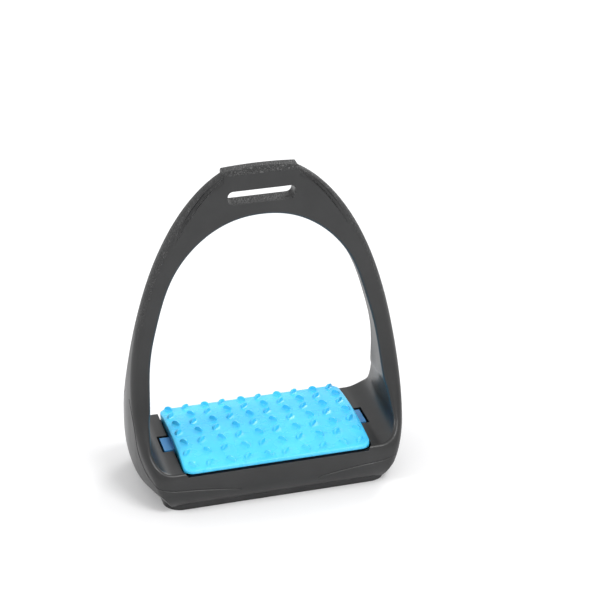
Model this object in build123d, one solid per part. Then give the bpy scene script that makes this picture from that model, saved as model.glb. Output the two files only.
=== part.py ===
from build123d import *
import os

# Stirrup iron with a flexing tread.
# Frame of the model: +Z up, X along the foot's width, -Y towards the front. The origin is at the middle of
# the underside. Everything is in millimetres.

# ---------------------------------------------------------------- driving dimensions
OPENING_HALF_WIDTH = 62.3    # at the footbed, which gives the standard 120 mm between the legs
LEG_THICKNESS = 8.4
BASE_DEPTH = 64.3            # fore-aft depth of the footbed
BRIDGE_TOP_Z = 170.0         # overall height
FOOTBED_Z = 22.2             # top of the blocks beside the tread
BODY_BOTTOM_Z = 3.0          # underside of the frame, above the sole plate's face
WEB_THICKNESS = 8.9          # flat shield that holds the leather slot
SLOT_LENGTH = 34.0           # stirrup leather slot
SLOT_HEIGHT = 6.9
SLOT_CORNER = 2.8
WALL = 3.0                   # front and back walls of the pocket
PIN_RADIUS = 1.5
STUD_COLUMNS = 10
STUD_ROWS = 7

# ---------------------------------------------------------------- clearances
RUNNING = 0.05               # radial, between a pin and its bore
HOLE_CLEARANCE = 0.2         # radial, round the screws and travel bolts
PEG_CLEARANCE = 0.1          # radial, round the cushion pegs
END_PLAY = 1.0               # between the cradle's ends and the tread plate's ears
GAP = 0.4                    # between pieces that don't touch
END_GAP = 0.7                # between the pad's ends and the blocks beside it
FRONT_DROP = 1.7             # the pad's front rim may sink this far
REAR_DROP = 4.6              # the rear rim sinks further, because the tread rocks heel-down
TAB_DROP = 2.8               # under the tread plate's tabs
TAB_SIDE_GAP = 1.75
TAB_END_GAP = 1.2
PAD_SIDE_INSET = 0.4         # from the frame's front face to the pad's

# ---------------------------------------------------------------- frame
HALF_BASE = BASE_DEPTH / 2
HALF_WEB = WEB_THICKNESS / 2
OUTER_HALF_WIDTH = OPENING_HALF_WIDTH + LEG_THICKNESS
WIDEST_Z = 30.0              # the outside is an ellipse above this
OUTER_RISE = BRIDGE_TOP_Z + 2.6 - WIDEST_Z
SHOULDER_Z = 17.0            # the legs reach the footbed's full depth here
WEB_BOTTOM_Z = BRIDGE_TOP_Z - 66.0    # the legs start to spread fore and aft below this
SIDE_CROWN = 7.5             # how far the sides pull in from the middle to the front and back
SIDE_FLAT = 8.2              # height of the slant under the sides
SLANT_TOP_INSET = 3.2
SLANT_BOTTOM_INSET = 9.6
SLOT_Z = BRIDGE_TOP_Z - 14.6
OPENING_TOP_Z = SLOT_Z - 10.6
BRIDGE_HALF_LENGTH = SLOT_LENGTH / 2 + 1.6
BRIDGE_CROWN = 1.2
BRIDGE_BEVEL_HEIGHT = 2.9
BRIDGE_BEVEL_DEPTH = 2.3
BRIDGE_END_RADIUS = 0.7
BRIDGE_BOTTOM_Z = SLOT_Z + SLOT_HEIGHT / 2 + 1.0
RIM_RADIUS = 4.0             # rounding of the outer edges
FLOOR_CORNER = 9.6           # length of the curve from the legs into the footbed
UNDER_CORNER = 3.2           # rounding under the front and back
INNER_EDGE_RADIUS = 1.8      # rounding of the edges round the foot opening
CHANNEL_RADIUS = 1.2         # hollow between the rim and the flat shield
CHANNEL_DEPTH = 1.5
CHANNEL_INSETS = [(3.4, 0.9), (17.5, 3.1), (36.0, 4.3)]  # below the bridge's top, in from the outline
GROOVE_RADIUS = 0.5          # fine line round the footbed's corners
# where it runs: share of the opening's half width, or of the half depth, and height
GROOVE_FRONT = [(0.32, 9.3), (0.40, 10.4), (0.56, 11.7), (0.72, 12.8), (0.86, 13.6)]
GROOVE_CORNER_Z = 16.2
GROOVE_SIDE = [(0.80, 19.6), (0.68, 24.0), (0.54, 31.0), (0.44, 40.0), (0.29, 48.8), (0.15, 54.0)]
GROOVE_LIFT = 0.12           # the groove's middle stands this far outside the surface

# ---------------------------------------------------------------- tread
PAD_LENGTH = 2 * OPENING_HALF_WIDTH - 28.6
PAD_DEPTH = BASE_DEPTH - 2 * PAD_SIDE_INSET
PAD_CORNER = 5.0
PAD_CROWN = 3.1
LIP_BOTTOM_Z = FOOTBED_Z - 0.3
LIP_HEIGHT = 2.0
LIP_THICKNESS = 1.2
PAD_RIM_Z = LIP_BOTTOM_Z + LIP_HEIGHT
PAD_END_BOTTOM_Z = LIP_BOTTOM_Z - 2.5
STUD_MARGIN_X = 4.35         # from the pad's ends to the middle of the first studs
STUD_MARGIN_Y = 3.55
STUD_PITCH_X = (PAD_LENGTH - 2 * STUD_MARGIN_X) / (STUD_COLUMNS - 1)
STUD_PITCH_Y = (PAD_DEPTH - 2 * STUD_MARGIN_Y) / (STUD_ROWS - 1)
STUD_RADIUS = 2.5
STUD_HEIGHT = 2.3
STUD_TURN = 45.0
PLATE_TOP_Z = FOOTBED_Z + 0.3
PLATE_THICKNESS = 2.6
PLATE_BOTTOM_Z = PLATE_TOP_Z - PLATE_THICKNESS
TAB_END_X = PAD_LENGTH / 2 + 5.0
TAB_WIDTH = 12.5
TAB_TOP_Z = FOOTBED_Z - 0.2
TAB_THICKNESS = 2.5
NOTCH_GAP = 0.2              # round the tabs where they leave the pad

# ---------------------------------------------------------------- pocket and underside
POCKET_HALF_LENGTH = PAD_LENGTH / 2 + END_GAP
FRONT_WALL_Z = LIP_BOTTOM_Z - FRONT_DROP
REAR_WALL_Z = LIP_BOTTOM_Z - REAR_DROP
WINDOW_HALF_DEPTH = TAB_WIDTH / 2 + TAB_SIDE_GAP
WINDOW_END_X = TAB_END_X + TAB_END_GAP
WINDOW_FLOOR_Z = TAB_TOP_Z - TAB_THICKNESS - TAB_DROP
SOLE_THICKNESS = BODY_BOTTOM_Z
SOLE_HALF_LENGTH = OUTER_HALF_WIDTH - 13.2
SOLE_EDGE_INSET = 3.4        # from the frame's front face to the sole plate's edge
SOLE_CORNER = 9.0
SOLE_RIM_HEIGHT = 1.6
SOLE_RIM_WIDTH = 1.6
CORE_HALF_DEPTH = HALF_BASE - 20.15   # moulded hollow under each block

# ---------------------------------------------------------------- suspension
PIVOT_Z = FOOTBED_Z - 8.2
FLOAT_BOTTOM_Z = PIVOT_Z - 6.0
FLOAT_THICKNESS = 2.0
FLOAT_TOP_Z = FLOAT_BOTTOM_Z + FLOAT_THICKNESS
FLOAT_HALF_LENGTH = PAD_LENGTH / 2 - 7.0
FLOAT_HALF_DEPTH = HALF_BASE - 12.15
CUSHION_RADIUS = 5.5
CUSHION_X = FLOAT_HALF_LENGTH - 8.0
CUSHION_Y = FLOAT_HALF_DEPTH - 6.5
CUSHION_PEG_RADIUS = 2.0
CUSHION_PEG_HEIGHT = 2.0
CRADLE_HALF_LENGTH = 30.0
CRADLE_HALF_DEPTH = 6.0
CRADLE_BOTTOM_Z = PIVOT_Z - 2.2
CRADLE_TOP_Z = PIVOT_Z + 2.8
HUB_HALF_LENGTH = 8.0
HUB_HALF_DEPTH = 9.0
WING_X = 17.0
WING_HALF_DEPTH = 12.0
WING_THICKNESS = 2.5
WING_HALF_LENGTH = 5.0
ROCK_BUFFER_HALF_LENGTH = 4.0
ROCK_BUFFER_HALF_DEPTH = 1.5
BUFFER_X = 20.0
EAR_RADIUS = 3.2
EAR_THICKNESS = 3.4
STUB_LENGTH = 6.0
BOLT_X = 16.0
BOLT_Y = FLOAT_HALF_DEPTH - 5.5
BOLT_RADIUS = 2.0
BOLT_HEAD_RADIUS = 3.8
BOLT_HEAD_HEIGHT = 2.0
BOLT_HEAD_Z = 1.4            # underside of the head, above the ground
BOLT_LEDGE = 1.8
BOSS_WALL = 1.8
SCREW_X = POCKET_HALF_LENGTH + 4.8
SCREW_Y = HALF_BASE - 13.15
SCREW_RADIUS = 1.5
INSERT_RADIUS = 2.6
INSERT_LENGTH = 7.0
SCREW_HEAD_RADIUS = 2.7
SCREW_HEAD_HEIGHT = 1.5
SCREW_HEAD_TOP_Z = 1.8
SCREW_DRIVE_RADIUS = 1.2
SCREW_DRIVE_DEPTH = 0.8


def block(x, y, z):
    """Box given by its lowest and highest X, Y and Z."""
    size = (x[1] - x[0], y[1] - y[0], z[1] - z[0])
    return Pos((x[0] + x[1]) / 2, (y[0] + y[1]) / 2, (z[0] + z[1]) / 2) * Box(*size)


def upright(x, y, z, radius):
    """Cylinder along Z between two heights."""
    return Pos(x, y, (z[0] + z[1]) / 2) * Cylinder(radius, z[1] - z[0])


def corners(x, y):
    """The four places that are mirrored across both middle planes."""
    return [(sx * x, sy * y) for sx in (-1, 1) for sy in (-1, 1)]


def mirrored(shape, plane):
    """The shape joined to its mirror image."""
    return shape + mirror(shape, about=plane)


# ---------------------------------------------------------------- frame
def outer_section(y):
    """Right half of the frame's outline at one depth, filled."""
    inset = SIDE_CROWN * (y / HALF_BASE) ** 2
    half_width = OUTER_HALF_WIDTH - inset
    with BuildSketch(Plane.XZ.offset(-y)) as section:
        with BuildLine():
            arch = EllipticalCenterArc((0, WIDEST_Z), half_width, OUTER_RISE - inset, start_angle=0, arc_size=90)
            middle = Line(arch @ 1, (0, BODY_BOTTOM_Z))
            under = Line(middle @ 1, (half_width - SLANT_BOTTOM_INSET, BODY_BOTTOM_Z))
            slant = Line(under @ 1, (half_width - SLANT_TOP_INSET, BODY_BOTTOM_Z + SIDE_FLAT))
            TangentArc(arch @ 0, slant @ 1, tangent=(0, -1))
        make_face()
    return section.sketch


def foot_opening():
    """Right half of the space between the legs."""
    rise = OPENING_TOP_Z - FOOTBED_Z
    with BuildSketch(Plane.XZ) as section:
        with BuildLine():
            arch = Spline(
                (0, OPENING_TOP_Z),
                (0.414 * OPENING_HALF_WIDTH, OPENING_TOP_Z - 0.061 * rise),
                (0.706 * OPENING_HALF_WIDTH, OPENING_TOP_Z - 0.220 * rise),
                (0.854 * OPENING_HALF_WIDTH, OPENING_TOP_Z - 0.423 * rise),
                (0.936 * OPENING_HALF_WIDTH, OPENING_TOP_Z - 0.610 * rise),
                (0.974 * OPENING_HALF_WIDTH, OPENING_TOP_Z - 0.798 * rise),
                (OPENING_HALF_WIDTH, FOOTBED_Z + 10.0),
                tangents=((1, 0), (0.04, -1)),
            )
            corner = TangentArc(arch @ 1, (OPENING_HALF_WIDTH - FLOOR_CORNER, FOOTBED_Z), tangent=arch % 1)
            floor = Line(corner @ 1, (0, FOOTBED_Z))
            Line(floor @ 1, arch @ 0)
        make_face()
    return section.sketch


def depth_section():
    """Back half of the frame's outline seen from the side."""
    rise = WEB_BOTTOM_Z - SHOULDER_Z
    spread = HALF_BASE - HALF_WEB
    with BuildSketch(Plane.YZ) as section:
        with BuildLine():
            top = Line((0, BRIDGE_TOP_Z + 5), (HALF_WEB, BRIDGE_TOP_Z + 5))
            web = Line(top @ 1, (HALF_WEB, WEB_BOTTOM_Z))
            flare = Spline(
                web @ 1,
                (HALF_WEB + 0.027 * spread, SHOULDER_Z + 0.793 * rise),
                (HALF_WEB + 0.078 * spread, SHOULDER_Z + 0.632 * rise),
                (HALF_WEB + 0.164 * spread, SHOULDER_Z + 0.506 * rise),
                (HALF_WEB + 0.301 * spread, SHOULDER_Z + 0.379 * rise),
                (HALF_WEB + 0.507 * spread, SHOULDER_Z + 0.253 * rise),
                (HALF_WEB + 0.764 * spread, SHOULDER_Z + 0.138 * rise),
                (HALF_BASE, SHOULDER_Z),
                tangents=((0, -1), (0, -1)),
            )
            wall = Line(flare @ 1, (HALF_BASE, BODY_BOTTOM_Z + SIDE_FLAT))
            under = TangentArc(wall @ 1, (HALF_BASE - UNDER_CORNER, BODY_BOTTOM_Z), tangent=(0, -1))
            bottom = Line(under @ 1, (0, BODY_BOTTOM_Z))
            Line(bottom @ 1, top @ 0)
        make_face()
    return section.sketch


def frame_blank():
    """Quarter of the frame, solid in the footbed, with its long edges rounded."""
    crowned = loft([outer_section(y) for y in (-HALF_BASE, 0, HALF_BASE)])
    opening = extrude(foot_opening(), 50, both=True)
    side = extrude(depth_section(), 90, both=True)
    blank = (crowned - opening) & side
    outer_edge = blank.edges().sort_by_distance((OUTER_HALF_WIDTH - 4.0, HALF_WEB + 3.0, 71.4))[0]
    blank = blank.fillet(RIM_RADIUS, [outer_edge])
    inner_edge = blank.edges().sort_by_distance((OPENING_HALF_WIDTH - 4.0, HALF_WEB + 3.0, 71.4))[0]
    return blank.fillet(INNER_EDGE_RADIUS, [inner_edge])


def panel_groove(blank):
    """Fine line from the front face, round the corner and up the side, for a quarter of the frame."""
    rays = [Axis((OPENING_HALF_WIDTH * share, BASE_DEPTH, z), (0, -1, 0)) for share, z in GROOVE_FRONT]
    corner_x = OUTER_HALF_WIDTH - SIDE_CROWN
    rays.append(Axis((corner_x + 20, HALF_BASE + 20, GROOVE_CORNER_Z), (-1, -1, 0)))
    rays += [Axis((OUTER_HALF_WIDTH + 20, HALF_BASE * share, z), (-1, 0, 0)) for share, z in GROOVE_SIDE]
    points = []
    for ray in rays:
        start = Vector(ray.position)
        hits = blank.find_intersection_points(ray)
        point = min((hit for hit, _ in hits), key=lambda hit: (hit - start).length)
        points.append(point - Vector(ray.direction) * GROOVE_LIFT)
    path = Spline(*points)
    with BuildSketch(Plane(origin=path @ 0, z_dir=path % 0)) as section:
        Circle(GROOVE_RADIUS)
    return sweep(section.sketch, path=path)


def bridge():
    """Raised block on top of the arch, bevelled front and back."""
    end_z = BRIDGE_TOP_Z - BRIDGE_CROWN
    low_z = BRIDGE_BOTTOM_Z
    with BuildSketch(Plane.XZ) as section:
        with BuildLine():
            crown = ThreePointArc((-BRIDGE_HALF_LENGTH, end_z), (0, BRIDGE_TOP_Z), (BRIDGE_HALF_LENGTH, end_z))
            right = Line(crown @ 1, (BRIDGE_HALF_LENGTH, low_z))
            bottom = Line(right @ 1, (-BRIDGE_HALF_LENGTH, low_z))
            Line(bottom @ 1, crown @ 0)
        make_face()
    block_solid = extrude(section.sketch, HALF_WEB, both=True)
    end_edges = [
        block_solid.edges().sort_by_distance((sx * BRIDGE_HALF_LENGTH, 0, end_z))[0] for sx in (-1, 1)
    ]
    block_solid = block_solid.fillet(BRIDGE_END_RADIUS, end_edges)
    bevel_z = BRIDGE_TOP_Z - BRIDGE_BEVEL_HEIGHT
    flat = HALF_WEB - BRIDGE_BEVEL_DEPTH
    outline = [(-HALF_WEB, low_z), (HALF_WEB, low_z), (HALF_WEB, bevel_z), (flat, BRIDGE_TOP_Z),
               (-flat, BRIDGE_TOP_Z), (-HALF_WEB, bevel_z)]
    with BuildSketch(Plane.YZ) as side:
        with BuildLine():
            Polyline(*outline, close=True)
        make_face()
    return block_solid & extrude(side.sketch, BRIDGE_HALF_LENGTH + 1, both=True)


def channel(side):
    """Hollow beside the shield's slanting edge, deepest next to the bridge and running out on the leg."""
    top_y = HALF_WEB + CHANNEL_RADIUS - CHANNEL_DEPTH
    low_y = HALF_WEB + CHANNEL_RADIUS
    middle_y = top_y + 0.15
    points = []
    for drop, inset in CHANNEL_INSETS:
        z = BRIDGE_TOP_Z - drop
        outline_x = OUTER_HALF_WIDTH * (1 - ((z - WIDEST_Z) / OUTER_RISE) ** 2) ** 0.5
        points.append((outline_x - inset, z))
    path = ThreePointArc(*[
        (side * x, -y, z) for (x, z), y in zip(points, (top_y, middle_y, low_y))
    ])
    with BuildSketch(Plane(origin=path @ 0, z_dir=path % 0)) as section:
        Circle(CHANNEL_RADIUS)
    return sweep(section.sketch, path=path)


def leather_slot():
    """Rounded slot through the shield."""
    with BuildSketch(Plane.XZ) as section:
        with Locations((0, SLOT_Z)):
            RectangleRounded(SLOT_LENGTH, SLOT_HEIGHT, SLOT_CORNER)
    return extrude(section.sketch, HALF_WEB + 5, both=True)


def pad_outline(growth, z):
    """Rounded rectangle of the pad, grown all round, at one height."""
    with BuildSketch(Plane.XY.offset(z)) as section:
        RectangleRounded(PAD_LENGTH + 2 * growth, PAD_DEPTH + 2 * growth, PAD_CORNER + growth)
    return section.sketch


def frame():
    """Arch, bridge, legs and hollow footbed in one moulding."""
    quarter = frame_blank()
    quarter -= panel_groove(quarter)
    body = mirrored(mirrored(quarter, Plane.XZ), Plane.YZ)
    bridge_length = (-BRIDGE_HALF_LENGTH, BRIDGE_HALF_LENGTH)
    body -= block(bridge_length, (-HALF_BASE, HALF_BASE), (BRIDGE_BOTTOM_Z, BRIDGE_TOP_Z + 30))
    body += bridge()
    for side in (-1, 1):
        hollow = channel(side)
        body = body - hollow - mirror(hollow, about=Plane.XZ)
    body -= leather_slot()
    inner = HALF_BASE - WALL
    above = FOOTBED_Z + 8
    length = (-POCKET_HALF_LENGTH, POCKET_HALF_LENGTH)
    body -= block(length, (-inner, inner), (BODY_BOTTOM_Z - 1, above))
    front_gap = extrude(pad_outline(END_GAP + GAP, FRONT_WALL_Z), above - FRONT_WALL_Z)
    body -= front_gap & block(length, (-HALF_BASE - 5, 0), (FRONT_WALL_Z, above))
    body -= block(length, (0, HALF_BASE + 5), (REAR_WALL_Z, above))
    for side in (-1, 1):
        ends = sorted((side * (POCKET_HALF_LENGTH - 1), side * WINDOW_END_X))
        body -= block(ends, (-WINDOW_HALF_DEPTH, WINDOW_HALF_DEPTH), (WINDOW_FLOOR_Z, above))
        core = sorted((side * (POCKET_HALF_LENGTH + WALL), side * (OPENING_HALF_WIDTH - 2)))
        body -= block(core, (-CORE_HALF_DEPTH, CORE_HALF_DEPTH), (BODY_BOTTOM_Z - 1, WINDOW_FLOOR_Z - WALL))
    for x, y in corners(SCREW_X, SCREW_Y):
        body -= upright(x, y, (BODY_BOTTOM_Z - 1, BODY_BOTTOM_Z + INSERT_LENGTH), INSERT_RADIUS)
    return body


# ---------------------------------------------------------------- underside
def sole_plate():
    """Closing plate with a locating rim, cushion pegs and bosses for the travel bolts."""
    half_depth = HALF_BASE - SOLE_EDGE_INSET
    with BuildSketch() as section:
        RectangleRounded(2 * SOLE_HALF_LENGTH, 2 * half_depth, SOLE_CORNER)
    plate = extrude(section.sketch, SOLE_THICKNESS)
    rim_x = POCKET_HALF_LENGTH - GAP
    rim_y = HALF_BASE - WALL - GAP
    top = SOLE_THICKNESS
    rim = block((-rim_x, rim_x), (-rim_y, rim_y), (top, top + SOLE_RIM_HEIGHT))
    inside = (rim_x - SOLE_RIM_WIDTH, rim_y - SOLE_RIM_WIDTH)
    rim -= block((-inside[0], inside[0]), (-inside[1], inside[1]), (top - 1, top + SOLE_RIM_HEIGHT + 1))
    plate += rim
    for x, y in corners(CUSHION_X, CUSHION_Y):
        plate += upright(x, y, (top, top + CUSHION_PEG_HEIGHT), CUSHION_PEG_RADIUS)
    ledge_z = BOLT_HEAD_Z + BOLT_HEAD_HEIGHT + RUNNING
    for x, y in corners(BOLT_X, BOLT_Y):
        plate += upright(x, y, (top, ledge_z + BOLT_LEDGE), BOLT_HEAD_RADIUS + GAP + BOSS_WALL)
        plate -= upright(x, y, (-1, ledge_z), BOLT_HEAD_RADIUS + GAP)
        plate -= upright(x, y, (-1, ledge_z + BOLT_LEDGE + 1), BOLT_RADIUS + HOLE_CLEARANCE)
    for x, y in corners(SCREW_X, SCREW_Y):
        plate -= upright(x, y, (-1, SCREW_HEAD_TOP_Z), SCREW_HEAD_RADIUS + GAP)
        plate -= upright(x, y, (-1, top + 1), SCREW_RADIUS + HOLE_CLEARANCE)
    return plate


def sole_screws():
    """Four pan-head screws from below."""
    screws = []
    for x, y in corners(SCREW_X, SCREW_Y):
        head = upright(x, y, (SCREW_HEAD_TOP_Z - SCREW_HEAD_HEIGHT, SCREW_HEAD_TOP_Z), SCREW_HEAD_RADIUS)
        head -= upright(x, y, (0, SCREW_HEAD_TOP_Z - SCREW_HEAD_HEIGHT + SCREW_DRIVE_DEPTH), SCREW_DRIVE_RADIUS)
        screws.append(head + upright(x, y, (SCREW_HEAD_TOP_Z, BODY_BOTTOM_Z + INSERT_LENGTH - 1), SCREW_RADIUS))
    return Compound(screws)


def screw_inserts():
    """Four threaded brass tubes moulded into the frame."""
    tubes = []
    for x, y in corners(SCREW_X, SCREW_Y):
        tube = upright(x, y, (BODY_BOTTOM_Z, BODY_BOTTOM_Z + INSERT_LENGTH), INSERT_RADIUS)
        tubes.append(tube - upright(x, y, (0, BODY_BOTTOM_Z + INSERT_LENGTH + 1), SCREW_RADIUS))
    return Compound(tubes)


# ---------------------------------------------------------------- suspension
def press_cushions():
    """Four elastomer rings between the sole plate and the floating plate."""
    rings = []
    for x, y in corners(CUSHION_X, CUSHION_Y):
        ring = upright(x, y, (SOLE_THICKNESS, FLOAT_BOTTOM_Z), CUSHION_RADIUS)
        rings.append(ring - upright(x, y, (0, FLOAT_BOTTOM_Z + 1), CUSHION_PEG_RADIUS + PEG_CLEARANCE))
    return Compound(rings)


def float_plate():
    """Plate that sinks on the cushions, with two ears that hold the tilt pin."""
    plate = block((-FLOAT_HALF_LENGTH, FLOAT_HALF_LENGTH), (-FLOAT_HALF_DEPTH, FLOAT_HALF_DEPTH),
                  (FLOAT_BOTTOM_Z, FLOAT_TOP_Z))
    for side in (-1, 1):
        ends = sorted((side * (CRADLE_HALF_LENGTH + GAP), side * (CRADLE_HALF_LENGTH + 2 * EAR_THICKNESS)))
        plate -= block(ends, (-EAR_RADIUS - 2, EAR_RADIUS + 2), (0, FLOAT_TOP_Z + 1))
        depth = sorted((side * (HUB_HALF_DEPTH + GAP), side * (HUB_HALF_DEPTH + GAP + EAR_THICKNESS)))
        plate += block((-EAR_RADIUS, EAR_RADIUS), depth, (FLOAT_BOTTOM_Z, PIVOT_Z))
        middle = Pos(0, (depth[0] + depth[1]) / 2, PIVOT_Z)
        plate += middle * Rot(90, 0, 0) * Cylinder(EAR_RADIUS, EAR_THICKNESS)
    plate -= tilt_pin()
    for x, y in corners(BOLT_X, BOLT_Y):
        plate -= upright(x, y, (0, FLOAT_TOP_Z + 1), BOLT_RADIUS)
    return plate


def travel_bolts():
    """Four bolts that hang from the floating plate and slide in the sole plate."""
    bolts = []
    for x, y in corners(BOLT_X, BOLT_Y):
        head = upright(x, y, (BOLT_HEAD_Z, BOLT_HEAD_Z + BOLT_HEAD_HEIGHT), BOLT_HEAD_RADIUS)
        head -= upright(x, y, (0, BOLT_HEAD_Z + 1.2), SCREW_DRIVE_RADIUS)
        bolts.append(head + upright(x, y, (BOLT_HEAD_Z + BOLT_HEAD_HEIGHT, FLOAT_TOP_Z), BOLT_RADIUS))
    return Compound(bolts)


def tilt_pin():
    """Pin along Y through both ears and the cradle's hub."""
    length = 2 * (HUB_HALF_DEPTH + GAP + EAR_THICKNESS)
    return Pos(0, 0, PIVOT_Z) * Rot(90, 0, 0) * Cylinder(PIN_RADIUS, length)


def tilt_buffers():
    """Two rubber blocks under the cradle's arms."""
    blocks = []
    for side in (-1, 1):
        ends = sorted((side * (BUFFER_X - 3), side * (BUFFER_X + 3)))
        blocks.append(block(ends, (-5, 5), (FLOAT_TOP_Z, CRADLE_BOTTOM_Z)))
    return Compound(blocks)


def cradle():
    """Cross-shaped block: it tilts on the pin along Y and carries the stub pins along X."""
    height = (CRADLE_BOTTOM_Z, CRADLE_TOP_Z)
    body = block((-CRADLE_HALF_LENGTH, CRADLE_HALF_LENGTH), (-CRADLE_HALF_DEPTH, CRADLE_HALF_DEPTH), height)
    body += block((-HUB_HALF_LENGTH, HUB_HALF_LENGTH), (-HUB_HALF_DEPTH, HUB_HALF_DEPTH), height)
    wing = (CRADLE_TOP_Z - WING_THICKNESS, CRADLE_TOP_Z)
    for side in (-1, 1):
        ends = sorted((side * (WING_X - WING_HALF_LENGTH), side * (WING_X + WING_HALF_LENGTH)))
        body += block(ends, (-WING_HALF_DEPTH, WING_HALF_DEPTH), wing)
        start = CRADLE_HALF_LENGTH - STUB_LENGTH - GAP
        ends = sorted((side * start, side * (CRADLE_HALF_LENGTH + 1)))
        middle = Pos((ends[0] + ends[1]) / 2, 0, PIVOT_Z)
        body -= middle * Rot(0, 90, 0) * Cylinder(PIN_RADIUS + RUNNING, ends[1] - ends[0])
    body -= Pos(0, 0, PIVOT_Z) * Rot(90, 0, 0) * Cylinder(PIN_RADIUS + RUNNING, 4 * HUB_HALF_DEPTH)
    return body


def rock_buffers():
    """Four rubber blocks between the cradle's wings and the tread plate."""
    blocks = []
    for x, y in corners(WING_X, WING_HALF_DEPTH - 2):
        length = (x - ROCK_BUFFER_HALF_LENGTH, x + ROCK_BUFFER_HALF_LENGTH)
        depth = (y - ROCK_BUFFER_HALF_DEPTH, y + ROCK_BUFFER_HALF_DEPTH)
        blocks.append(block(length, depth, (CRADLE_TOP_Z, PLATE_BOTTOM_Z)))
    return Compound(blocks)


# ---------------------------------------------------------------- tread
def ear_start():
    """Inner face of a tread plate ear."""
    return CRADLE_HALF_LENGTH + END_PLAY


def rock_pins():
    """Two stub pins along X, one at each end of the cradle."""
    pins = []
    for side in (-1, 1):
        ends = sorted((side * (CRADLE_HALF_LENGTH - STUB_LENGTH), side * (ear_start() + EAR_THICKNESS)))
        middle = Pos((ends[0] + ends[1]) / 2, 0, PIVOT_Z)
        pins.append(middle * Rot(0, 90, 0) * Cylinder(PIN_RADIUS, ends[1] - ends[0]))
    return Compound(pins)


def tread_plate():
    """Stiff carrier under the pad, with end tabs and ears for the stub pins."""
    half_length = PAD_LENGTH / 2 - LIP_THICKNESS - 2 * GAP
    half_depth = PAD_DEPTH / 2 - 5.0
    with BuildSketch(Plane.XY.offset(PLATE_BOTTOM_Z)) as section:
        RectangleRounded(2 * half_length, 2 * half_depth, PAD_CORNER - 1.5)
    plate = extrude(section.sketch, PLATE_THICKNESS)
    for side in (-1, 1):
        ends = sorted((side * (half_length - 2), side * TAB_END_X))
        plate += block(ends, (-TAB_WIDTH / 2, TAB_WIDTH / 2), (TAB_TOP_Z - TAB_THICKNESS, TAB_TOP_Z))
        ends = sorted((side * ear_start(), side * (ear_start() + EAR_THICKNESS)))
        plate += block(ends, (-EAR_RADIUS, EAR_RADIUS), (PIVOT_Z, PLATE_BOTTOM_Z + 0.5))
        middle = Pos((ends[0] + ends[1]) / 2, 0, PIVOT_Z)
        plate += middle * Rot(0, 90, 0) * Cylinder(EAR_RADIUS, EAR_THICKNESS)
    return plate - rock_pins()


def pad_crown_z(y):
    """Height of the pad's top between its studs."""
    return PAD_RIM_Z + PAD_CROWN * (1 - (2 * y / PAD_DEPTH) ** 2)


def stud(column, row):
    """Half dome whose flat face looks forwards and to one side; neighbours turn opposite ways."""
    x = (column - (STUD_COLUMNS - 1) / 2) * STUD_PITCH_X
    y = (row - (STUD_ROWS - 1) / 2) * STUD_PITCH_Y
    turn = STUD_TURN if (column + row) % 2 else -STUD_TURN
    reach = 2 * STUD_RADIUS
    dome = Sphere(STUD_RADIUS) & block((-reach, reach), (0, reach), (-reach, reach))
    sunk = STUD_RADIUS - STUD_HEIGHT
    return Pos(x, y, pad_crown_z(y) - sunk) * Rot(0, 0, turn) * dome


def tread_pad():
    """Soft crowned pad with a thin hanging rim and rows of studs."""
    top = pad_crown_z(0)
    reach = PAD_DEPTH / 2 + 1
    edge_z = pad_crown_z(reach)
    with BuildSketch(Plane.YZ) as section:
        with BuildLine():
            crown = ThreePointArc((-reach, edge_z), (0, top), (reach, edge_z))
            rear = Line(crown @ 1, (reach, LIP_BOTTOM_Z))
            under = Line(rear @ 1, (-reach, LIP_BOTTOM_Z))
            Line(under @ 1, crown @ 0)
        make_face()
    pad = extrude(section.sketch, PAD_LENGTH / 2, both=True)
    pad &= extrude(pad_outline(0, LIP_BOTTOM_Z), top)
    pad -= extrude(pad_outline(-LIP_THICKNESS, LIP_BOTTOM_Z - 1), PLATE_TOP_Z - LIP_BOTTOM_Z + 1)
    skirt_y = PAD_DEPTH / 2 - PAD_CORNER
    end = PAD_LENGTH / 2
    for side in (-1, 1):
        ends = sorted((side * (end - LIP_THICKNESS), side * end))
        skirt = block(ends, (-skirt_y, skirt_y), (PAD_END_BOTTOM_Z, PAD_RIM_Z - 0.5))
        notch_y = TAB_WIDTH / 2 + NOTCH_GAP
        pad = pad + skirt - block(ends, (-notch_y, notch_y), (0, TAB_TOP_Z + NOTCH_GAP))
    studs = [stud(column, row) for column in range(STUD_COLUMNS) for row in range(STUD_ROWS)]
    return pad.fuse(*studs)


PIECES = {
    "frame": frame,
    "sole_plate": sole_plate,
    "sole_screws": sole_screws,
    "screw_inserts": screw_inserts,
    "press_cushions": press_cushions,
    "float_plate": float_plate,
    "travel_bolts": travel_bolts,
    "tilt_pin": tilt_pin,
    "tilt_buffers": tilt_buffers,
    "cradle": cradle,
    "rock_buffers": rock_buffers,
    "rock_pins": rock_pins,
    "tread_plate": tread_plate,
    "tread_pad": tread_pad,
}

os.makedirs("parts", exist_ok=True)
for name, make in PIECES.items():
    export_step(make(), f"parts/{name}.step")
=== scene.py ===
"""Visual model of a composite stirrup with a soft studded tread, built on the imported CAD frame."""

import math

import bmesh
import bpy
from mathutils import Matrix, Vector


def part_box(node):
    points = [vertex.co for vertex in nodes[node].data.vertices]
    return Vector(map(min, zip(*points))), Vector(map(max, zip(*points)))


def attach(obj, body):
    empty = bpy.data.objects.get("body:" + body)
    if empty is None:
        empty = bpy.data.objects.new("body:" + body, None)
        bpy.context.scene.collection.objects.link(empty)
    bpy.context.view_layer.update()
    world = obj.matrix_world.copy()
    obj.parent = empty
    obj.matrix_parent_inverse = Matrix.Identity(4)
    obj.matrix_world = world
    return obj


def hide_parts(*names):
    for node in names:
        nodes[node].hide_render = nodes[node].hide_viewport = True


MM = 0.001

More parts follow.
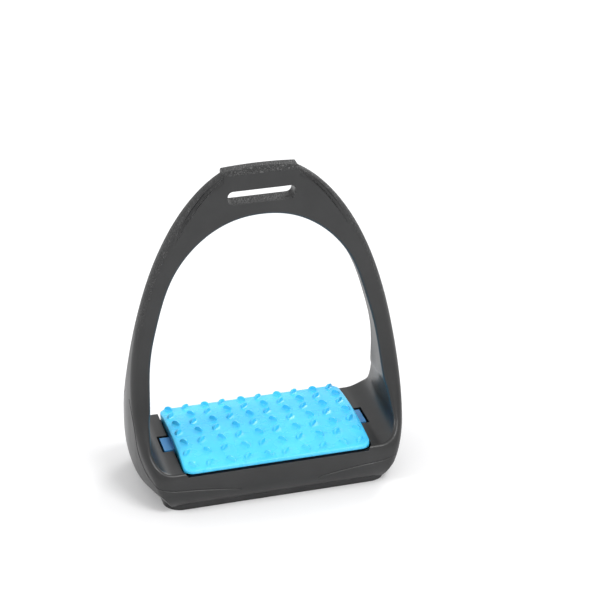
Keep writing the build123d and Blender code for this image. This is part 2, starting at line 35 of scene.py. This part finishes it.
# Soft pad
STUD_COLUMNS = 10
STUD_ROWS = 7
STUD_PITCH_X = 9.7 * MM
STUD_PITCH_Y = 9.4 * MM
STUD_RADIUS = 2.5 * MM
STUD_HEIGHT = 2.3 * MM
STUD_FILLET = 0.16 * MM
STUD_APRON = 0.7 * MM        # the flat ring of mesh round each stud's foot
STUD_MIDDLE = 0.42 * STUD_RADIUS     # from the flat face to the middle of the half disc
STUD_LEAST_HEIGHT = 0.05 * MM
STUD_RINGS = (               # share of the foot's outline, and how far below the dome
    (0.985, STUD_FILLET),
    (0.93, 0.02 * MM),
    (0.72, 0.0),
    (0.4, 0.0),
)
STUD_TURN = math.radians(45)
CELL_SIDE = 8                # mesh edges along one side of a stud's cell
PAD_CROWN = 3.1 * MM         # rise from the front and rear edges to the middle
PAD_CORNER = 5.0 * MM
PAD_CREASE = 0.8 * MM        # from the outline in to the crease round the top
RIM_RINGS = (                # inset from the outline, and drop below the crown
    (0.62 * MM, 0.16 * MM),
    (0.38 * MM, 0.20 * MM),
    (0.13 * MM, 0.34 * MM),
    (0.0, 0.66 * MM),
)
LIP_THICKNESS = 1.2 * MM
LIP_BOTTOM_Z = 21.9 * MM
PAD_SEAT_Z = 22.5 * MM       # top of the blue plate, under the pad
NOTCH_HALF = 6.45 * MM       # half width of the gap in the end skirts for the plate's tabs
NOTCH_MARGIN = 0.1 * MM
NOTCH_TOP_Z = 22.2 * MM
SKIRT_RISE_RATE = 1.6        # how soon the end skirts rise towards the corners

# Camera and paper
CAMERA_PLACE = (-0.2283, -0.9024, 0.5755)
CAMERA_AIM = (0.2359, 0.8580, -0.4562)
CAMERA_ROLL = -0.006
CAMERA_LENS = 126.9
FLOOR_HALF_WIDTH = 6.0


# ---------------------------------------------------------------- meshes


def new_object(name, bm, smooth=True):
    """A mesh object from a bmesh, linked to the scene."""
    mesh = bpy.data.meshes.new(name)
    bmesh.ops.recalc_face_normals(bm, faces=bm.faces)
    bm.to_mesh(mesh)
    bm.free()
    for polygon in mesh.polygons:
        polygon.use_smooth = smooth
    made = bpy.data.objects.new(name, mesh)
    bpy.context.scene.collection.objects.link(made)
    return made


def crown_z(y, half_depth, top):
    """Height of the pad between its studs."""
    return top - PAD_CROWN * (y / half_depth) ** 2


def rounded(x, y, half_x, half_y, radius):
    """Moves a point on a rectangle's outline onto the same rectangle with round corners."""
    dx = abs(x) - (half_x - radius)
    dy = abs(y) - (half_y - radius)
    if dx <= 0 or dy <= 0:
        return x, y
    scale = max(dx, dy) / math.hypot(dx, dy)
    return (
        math.copysign(half_x - radius + dx * scale, x),
        math.copysign(half_y - radius + dy * scale, y),
    )


def rectangle_points(x0, x1, y0, y1, count_x, count_y):
    """Points round a rectangle, anticlockwise from (x0, y0)."""
    points = [(x0 + (x1 - x0) * i / count_x, y0) for i in range(count_x)]
    points += [(x1, y0 + (y1 - y0) * i / count_y) for i in range(count_y)]
    points += [(x1 - (x1 - x0) * i / count_x, y1) for i in range(count_x)]
    points += [(x0, y1 - (y1 - y0) * i / count_y) for i in range(count_y)]
    return points


def stud_outline(angle, growth):
    """Where a ray from the half disc's middle leaves the half disc, grown outwards.

    The flat side faces -v; the ray starts halfway up the half disc.
    """
    start = STUD_MIDDLE
    radius = STUD_RADIUS + growth
    u, v = math.cos(angle), math.sin(angle)
    reach = -start * v + math.sqrt((start * v) ** 2 - start**2 + radius**2)
    if v < 0:
        reach = min(reach, (start + growth) / -v)
    return u * reach, start + v * reach


def stud_height(u, v):
    """Height of the dome over its own base."""
    share = 1 - (u * u + v * v) / STUD_RADIUS**2
    return STUD_HEIGHT * math.sqrt(max(share, 0.0))


def stud_cell(bm, weld, centre, turn, border, half_depth, top):
    """One stud and the patch of pad round it, as rings from the cell's border to the stud's top."""
    cos, sin = math.cos(turn), math.sin(turn)
    middle = Vector((-sin, cos)) * STUD_MIDDLE + Vector(centre)

    def place(u, v, lift):
        x = centre[0] + u * cos - v * sin
        y = centre[1] + u * sin + v * cos
        return bm.verts.new((x, y, crown_z(y, half_depth, top) + lift))

    outer = []
    for x, y in border:
        key = (round(x, 7), round(y, 7))
        if key not in weld:
            weld[key] = bm.verts.new((x, y, crown_z(y, half_depth, top)))
        outer.append(weld[key])
    angles = []
    for x, y in border:
        away = Vector((x, y)) - middle
        angles.append(math.atan2(-away.x * sin + away.y * cos, away.x * cos + away.y * sin))
    rings = [outer]
    near = [stud_outline(a, STUD_APRON) for a in angles]
    foot = [stud_outline(a, STUD_FILLET) for a in angles]
    edge = [stud_outline(a, 0.0) for a in angles]
    ring = []
    for (x, y), (u, v) in zip(border, near):
        px = centre[0] + u * cos - v * sin
        py = centre[1] + u * sin + v * cos
        mx, my = (px + x) / 2, (py + y) / 2
        ring.append(bm.verts.new((mx, my, crown_z(my, half_depth, top))))
    rings.append(ring)
    rings.append([place(u, v, 0.0) for u, v in foot])
    rings.append([place(u, v, min(STUD_FILLET, stud_height(u, v) * 0.5)) for u, v in edge])
    for share, drop in STUD_RINGS:
        ring = []
        for u, v in edge:
            su = u * share
            sv = STUD_MIDDLE + (v - STUD_MIDDLE) * share
            ring.append(place(su, sv, max(stud_height(su, sv) - drop, STUD_LEAST_HEIGHT)))
        rings.append(ring)
    count = len(border)
    for low, high in zip(rings, rings[1:]):
        for i in range(count):
            j = (i + 1) % count
            bm.faces.new((low[i], low[j], high[j], high[i]))
    tip = place(0.0, STUD_MIDDLE, stud_height(0.0, STUD_MIDDLE))
    last = rings[-1]
    for i in range(count):
        bm.faces.new((last[i], last[(i + 1) % count], tip))


def skirt_bottom(x, y, half_x, half_y, skirt_z):
    """Lower edge of the pad's hanging rim at a point of its outline."""
    if abs(x) < half_x - PAD_CORNER:
        return LIP_BOTTOM_Z
    if abs(y) < NOTCH_HALF + NOTCH_MARGIN:
        return NOTCH_TOP_Z
    run = (abs(y) - (half_y - PAD_CORNER)) / PAD_CORNER
    share = min(max(run * SKIRT_RISE_RATE, 0.0), 1.0)
    share = share * share * (3 - 2 * share)
    return skirt_z + (LIP_BOTTOM_Z - skirt_z) * share


def tread_pad():
    """The soft pad: crowned and studded top, crease, hanging rim and hollow underside."""
    low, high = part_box("tread_pad")
    half_x, half_y = high.x, high.y
    top = high.z - STUD_HEIGHT
    inner_x, inner_y = half_x - PAD_CREASE, half_y - PAD_CREASE
    inner_r = PAD_CORNER - PAD_CREASE
    lines_x = [(i - STUD_COLUMNS / 2) * STUD_PITCH_X for i in range(STUD_COLUMNS + 1)]
    lines_y = [(i - STUD_ROWS / 2) * STUD_PITCH_Y for i in range(STUD_ROWS + 1)]
    lines_x[0], lines_x[-1] = -inner_x, inner_x
    lines_y[0], lines_y[-1] = -inner_y, inner_y
    bm = bmesh.new()
    weld = {}
    for column in range(STUD_COLUMNS):
        for row in range(STUD_ROWS):
            centre = (
                (column - (STUD_COLUMNS - 1) / 2) * STUD_PITCH_X,
                (row - (STUD_ROWS - 1) / 2) * STUD_PITCH_Y,
            )
            border = rectangle_points(
                lines_x[column], lines_x[column + 1], lines_y[row], lines_y[row + 1],
                CELL_SIDE, CELL_SIDE,
            )
            border = [rounded(x, y, inner_x, inner_y, inner_r) for x, y in border]
            turn = -STUD_TURN if (column + row) % 2 == 0 else STUD_TURN
            stud_cell(bm, weld, centre, turn, border, half_y, top)
    outline = []
    for i in range(STUD_COLUMNS * CELL_SIDE):
        cell, step = divmod(i, CELL_SIDE)
        outline.append((lines_x[cell] + (lines_x[cell + 1] - lines_x[cell]) * step / CELL_SIDE, -inner_y))
    for i in range(STUD_ROWS * CELL_SIDE):
        cell, step = divmod(i, CELL_SIDE)
        outline.append((inner_x, lines_y[cell] + (lines_y[cell + 1] - lines_y[cell]) * step / CELL_SIDE))
    outline += [(-x, -y) for x, y in outline]
    first = []
    for x, y in outline:
        px, py = rounded(x, y, inner_x, inner_y, inner_r)
        first.append(weld[(round(px, 7), round(py, 7))])

    def loop(inset, height):
        hx, hy = half_x - inset, half_y - inset
        ring = []
        for x, y in outline:
            px, py = x * hx / inner_x, y * hy / inner_y
            px, py = rounded(px, py, hx, hy, PAD_CORNER - inset)
            if height == "bottom":
                z = skirt_bottom(px, py, half_x, half_y, low.z)
            elif height == "seat":
                z = PAD_SEAT_Z
            else:
                z = crown_z(py, half_y, top) + height
            ring.append(bm.verts.new((px, py, z)))
        return ring

    rings = [
        first,
        *[loop(inset, -drop) for inset, drop in RIM_RINGS],
        loop(0.0, "bottom"),
        loop(LIP_THICKNESS, "bottom"),
        loop(LIP_THICKNESS, "seat"),
    ]
    count = len(outline)
    for upper, lower in zip(rings, rings[1:]):
        for i in range(count):
            j = (i + 1) % count
            bm.faces.new((upper[i], lower[i], lower[j], upper[j]))
    bm.faces.new(rings[-1])
    return new_object("pad_cover", bm)


# ---------------------------------------------------------------- materials


class Nodes:
    """Short calls that add and link the nodes of one material."""

    def __init__(self, name):
        self.material = bpy.data.materials.new(name)
        self.material.use_nodes = True
        self.tree = self.material.node_tree
        self.tree.nodes.clear()
        self.output = self.tree.nodes.new("ShaderNodeOutputMaterial")
        self.shader = self.tree.nodes.new("ShaderNodeBsdfPrincipled")
        self.tree.links.new(self.shader.outputs[0], self.output.inputs[0])
        self.place = self.tree.nodes.new("ShaderNodeTexCoord").outputs["Object"]

    def link(self, source, target):
        self.tree.links.new(source, target)

    def noise(self, scale, detail=3.0, rough=0.5, stretch=(1, 1, 1)):
        mapping = self.tree.nodes.new("ShaderNodeMapping")
        mapping.inputs["Scale"].default_value = stretch
        self.link(self.place, mapping.inputs["Vector"])
        node = self.tree.nodes.new("ShaderNodeTexNoise")
        node.inputs["Scale"].default_value = scale
        node.inputs["Detail"].default_value = detail
        node.inputs["Roughness"].default_value = rough
        self.link(mapping.outputs[0], node.inputs["Vector"])
        return node.outputs["Fac"]

    def cells(self, scale, feature="F1"):
        node = self.tree.nodes.new("ShaderNodeTexVoronoi")
        node.feature = feature
        node.inputs["Scale"].default_value = scale
        self.link(self.place, node.inputs["Vector"])
        return node.outputs["Distance"]

    def ramp(self, value, low, high, out_low=0.0, out_high=1.0):
        node = self.tree.nodes.new("ShaderNodeMapRange")
        node.interpolation_type = "SMOOTHSTEP"
        self.link(value, node.inputs["Value"])
        for name, number in (("From Min", low), ("From Max", high), ("To Min", out_low), ("To Max", out_high)):
            node.inputs[name].default_value = number
        return node.outputs["Result"]

    def math(self, operation, a, b=None):
        node = self.tree.nodes.new("ShaderNodeMath")
        node.operation = operation
        for socket, value in zip(node.inputs, (a, b)):
            if value is None:
                continue
            if isinstance(value, (int, float)):
                socket.default_value = value
            else:
                self.link(value, socket)
        return node.outputs[0]

    def colours(self, factor, dark, light):
        node = self.tree.nodes.new("ShaderNodeMix")
        node.data_type = "RGBA"
        self.link(factor, node.inputs["Factor"])
        node.inputs["A"].default_value = (*dark, 1)
        node.inputs["B"].default_value = (*light, 1)
        return node.outputs["Result"]

    def mix_colour(self, factor, a, light):
        node = self.tree.nodes.new("ShaderNodeMix")
        node.data_type = "RGBA"
        self.link(factor, node.inputs["Factor"])
        self.link(a, node.inputs["A"])
        node.inputs["B"].default_value = (*light, 1)
        return node.outputs["Result"]

    def bevel_normal(self, radius):
        node = self.tree.nodes.new("ShaderNodeBevel")
        node.samples = 4
        node.inputs["Radius"].default_value = radius
        return node.outputs["Normal"]

    def bump(self, height, distance, strength=1.0, normal=None):
        node = self.tree.nodes.new("ShaderNodeBump")
        node.inputs["Distance"].default_value = distance
        node.inputs["Strength"].default_value = strength
        self.link(height, node.inputs["Height"])
        if normal is not None:
            self.link(normal, node.inputs["Normal"])
        return node.outputs["Normal"]

    def edge_highlight(self, rounded_normal, low=0.02, high=0.16):
        """Zero on open surfaces and one along convex and concave edges; masks the painted edge highlight."""
        geometry = self.tree.nodes.new("ShaderNodeNewGeometry")
        node = self.tree.nodes.new("ShaderNodeVectorMath")
        node.operation = "DOT_PRODUCT"
        self.link(rounded_normal, node.inputs[0])
        self.link(geometry.outputs["Normal"], node.inputs[1])
        return self.ramp(self.math("SUBTRACT", 1.0, node.outputs["Value"]), low, high)

    def set(self, **values):
        for name, value in values.items():
            self.shader.inputs[name.replace("_", " ")].default_value = value


def moulded_nylon(name, grain, dark=(0.0145, 0.0148, 0.0152), light=(0.020, 0.0203, 0.0208)):
    """Satin charcoal nylon with painted highlights along its edges; grain adds the leather-like texture on the
    arch's outer rim.
    """
    n = Nodes(name)
    n.set(Specular_IOR_Level=0.5, IOR=1.5)
    smooth = n.bevel_normal(0.35 * MM)
    cloud = n.noise(60.0, 4.0)
    # Painted highlight: convex and concave edges are mixed towards a lighter grey, broken up by noise.
    n.link(n.mix_colour(
        n.math("MULTIPLY", n.edge_highlight(smooth), n.ramp(n.noise(240.0, 2.0), 0.35, 0.7, 0.05, 0.5)),
        n.colours(n.ramp(cloud, 0.3, 0.7), dark, light),
        (0.075, 0.075, 0.077),
    ), n.shader.inputs["Base Color"])
    fine = n.noise(5200.0, 2.0, 0.6)
    scuff = n.noise(90.0, 3.0, 0.6, (1, 1, 0.25))
    rough = n.ramp(scuff, 0.25, 0.75, 0.30, 0.40)
    surface = n.bump(fine, 0.010 * MM, 0.55, smooth)
    if grain:
        geometry = n.tree.nodes.new("ShaderNodeNewGeometry")
        normal = n.tree.nodes.new("ShaderNodeSeparateXYZ")
        n.link(geometry.outputs["Normal"], normal.inputs[0])
        spot = n.tree.nodes.new("ShaderNodeSeparateXYZ")
        n.link(n.place, spot.inputs[0])
        side = n.ramp(n.math("ABSOLUTE", normal.outputs["Y"]), 0.90, 0.97, 1.0, 0.0)
        high = n.ramp(spot.outputs["Z"], 70 * MM, 112 * MM)
        outward = n.math("ADD",
                         n.math("MULTIPLY", n.math("MULTIPLY", normal.outputs["X"], spot.outputs["X"]), 25.0),
                         n.math("MULTIPLY", normal.outputs["Z"], 0.8))
        where = n.math("MULTIPLY", n.math("MULTIPLY", side, high), n.ramp(outward, -0.05, 0.25))
        leather = n.math("SUBTRACT", n.ramp(n.cells(850.0, "DISTANCE_TO_EDGE"), 0.0, 0.35),
                         n.math("MULTIPLY", n.noise(1600.0, 2.0), 0.35))
        surface = n.bump(n.math("MULTIPLY", leather, where), 0.24 * MM, 1.0, surface)
        rough = n.math("ADD", rough, n.math("MULTIPLY", where, 0.06))
    n.link(rough, n.shader.inputs["Roughness"])
    n.link(surface, n.shader.inputs["Normal"])
    return n.material


def soft_blue(name, dark, light, gloss, bevel=None):
    """Soft moulded elastomer in sky blue: slight cloudiness, fine pores and patchy gloss."""
    n = Nodes(name)
    n.set(Specular_IOR_Level=0.5, IOR=1.5, Subsurface_Weight=0.12, Subsurface_Scale=1.5 * MM)
    cloud = n.noise(45.0, 3.0)
    n.link(n.colours(n.ramp(cloud, 0.3, 0.7), dark, light), n.shader.inputs["Base Color"])
    pores = n.noise(2600.0, 2.0, 0.6)
    waves = n.noise(160.0, 2.0)
    base = n.bevel_normal(bevel) if bevel else None
    surface = n.bump(waves, 0.05 * MM, 0.5, base)
    surface = n.bump(pores, 0.012 * MM, 0.6, surface)
    n.link(surface, n.shader.inputs["Normal"])
    n.link(n.ramp(n.noise(120.0, 3.0), 0.3, 0.7, gloss - 0.05, gloss + 0.05), n.shader.inputs["Roughness"])
    return n.material


def metal(name, dark, light, rough, scratch_scale):
    """Machined or plated metal with fine turning marks, tarnish and soft edges."""
    n = Nodes(name)
    n.set(Metallic=1.0)
    smooth = n.bevel_normal(0.15 * MM)
    tarnish = n.ramp(n.noise(350.0, 4.0, 0.65), 0.35, 0.75)
    n.link(n.colours(tarnish, light, dark), n.shader.inputs["Base Color"])
    marks = n.noise(scratch_scale, 2.0, 0.6, (1, 1, 6))
    n.link(n.bump(marks, 0.02 * MM, 0.5, smooth), n.shader.inputs["Normal"])
    n.link(n.ramp(tarnish, 0.0, 1.0, rough, rough + 0.18), n.shader.inputs["Roughness"])
    return n.material


def rubber(name, dark, light):
    """Matt elastomer buffer with pores and bloom."""
    n = Nodes(name)
    n.set(Specular_IOR_Level=0.35)
    smooth = n.bevel_normal(0.25 * MM)
    n.link(n.colours(n.ramp(n.noise(180.0, 4.0), 0.3, 0.7), dark, light), n.shader.inputs["Base Color"])
    n.link(n.bump(n.noise(1800.0, 3.0, 0.7), 0.05 * MM, 0.7, smooth), n.shader.inputs["Normal"])
    n.link(n.ramp(n.noise(400.0, 2.0), 0.3, 0.7, 0.62, 0.80), n.shader.inputs["Roughness"])
    return n.material


def paper_floor():
    """Seamless white backdrop paper."""
    n = Nodes("backdrop_paper")
    n.set(Specular_IOR_Level=0.1, Roughness=0.85)
    n.link(n.colours(n.noise(3.0, 2.0), (0.86, 0.86, 0.865), (0.88, 0.88, 0.885)), n.shader.inputs["Base Color"])
    n.link(n.bump(n.noise(900.0, 2.0), 0.05 * MM, 0.2), n.shader.inputs["Normal"])
    return n.material


def dress(node, material):
    """Gives a CAD node its finished material."""
    node.data.materials.clear()
    node.data.materials.append(material)


# ---------------------------------------------------------------- scene


def add_camera():
    """Above, in front and a little to the left of the stirrup, with a long lens."""
    camera = bpy.data.cameras.new("camera")
    camera.lens = CAMERA_LENS
    camera.sensor_width = 36
    camera.clip_start, camera.clip_end = 0.05, 50
    made = bpy.data.objects.new("camera", camera)
    made.location = CAMERA_PLACE
    turn = Vector(CAMERA_AIM).to_track_quat("-Z", "Y").to_matrix().to_4x4()
    turn = turn @ Matrix.Rotation(CAMERA_ROLL, 4, "Z")
    made.rotation_euler = turn.to_euler()
    bpy.context.scene.collection.objects.link(made)
    bpy.context.scene.camera = made


def add_light(name, place, target, size, power, colour=(1, 1, 1)):
    """A square soft box that faces its target."""
    light = bpy.data.lights.new(name, "AREA")
    light.size = size
    light.energy = power
    light.color = colour
    made = bpy.data.objects.new(name, light)
    made.location = place
    made.rotation_euler = (Vector(target) - Vector(place)).to_track_quat("-Z", "Y").to_euler()
    bpy.context.scene.collection.objects.link(made)


def add_floor():
    """A wide flat sheet of paper that the stirrup stands on."""
    bm = bmesh.new()
    corners = ((-1, -1), (1, -1), (1, 1), (-1, 1))
    bm.faces.new([bm.verts.new((x * FLOOR_HALF_WIDTH, y * FLOOR_HALF_WIDTH, 0.0)) for x, y in corners])
    floor = new_object("floor", bm)
    floor.data.materials.append(paper_floor())


def add_world():
    world = bpy.data.worlds.new("studio")
    world.use_nodes = True
    background = world.node_tree.nodes["Background"]
    background.inputs["Color"].default_value = (1.0, 1.0, 1.0, 1)
    background.inputs["Strength"].default_value = 0.80
    bpy.context.scene.world = world


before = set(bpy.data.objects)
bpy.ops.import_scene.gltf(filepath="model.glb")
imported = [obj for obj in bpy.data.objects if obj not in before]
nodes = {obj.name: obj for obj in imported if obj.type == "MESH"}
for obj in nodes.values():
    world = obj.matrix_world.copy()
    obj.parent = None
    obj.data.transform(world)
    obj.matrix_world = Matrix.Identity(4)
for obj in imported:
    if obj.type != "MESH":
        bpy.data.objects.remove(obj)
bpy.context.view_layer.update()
scene = bpy.context.scene
scene.view_settings.view_transform = "Standard"

add_camera()
add_world()
add_floor()
add_light("key", (0.35, -0.75, 1.25), (0, 0, 0.05), 0.5, 9.0)
add_light("rear", (0.9, 0.9, 0.9), (0, 0, 0.08), 0.6, 7.0)
add_light("left", (-1.1, -0.1, 0.75), (0, 0, 0.10), 0.35, 5.0)

pad = tread_pad()
pad.data.materials.append(soft_blue("pad_elastomer", (0.055, 0.56, 0.95), (0.075, 0.62, 0.97), 0.26))
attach(pad, "tread")
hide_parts("tread_pad")

dress(nodes["frame"], moulded_nylon("frame_nylon_grained", True))
dress(nodes["sole_plate"], moulded_nylon("sole_nylon", False, (0.016, 0.016, 0.017), (0.024, 0.024, 0.025)))
inner = moulded_nylon("inner_nylon", False, (0.02, 0.02, 0.021), (0.03, 0.03, 0.031))
for name in ("float_plate", "cradle"):
    dress(nodes[name], inner)
dress(nodes["tread_plate"], soft_blue("plate_blue", (0.05, 0.25, 0.55), (0.07, 0.30, 0.62), 0.42, 0.3 * MM))
steel = metal("zinc_plated_steel", (0.42, 0.42, 0.44), (0.62, 0.62, 0.64), 0.26, 1500.0)
for name in ("sole_screws", "travel_bolts"):
    dress(nodes[name], steel)
dress(nodes["screw_inserts"], metal("brass", (0.50, 0.33, 0.12), (0.74, 0.54, 0.24), 0.28, 1500.0))
pins = metal("ground_pin_steel", (0.36, 0.36, 0.38), (0.58, 0.58, 0.60), 0.18, 2400.0)
for name in ("tilt_pin", "rock_pins"):
    dress(nodes[name], pins)
buffer = rubber("buffer_elastomer", (0.10, 0.10, 0.105), (0.15, 0.15, 0.155))
for name in ("press_cushions", "tilt_buffers", "rock_buffers"):
    dress(nodes[name], buffer)
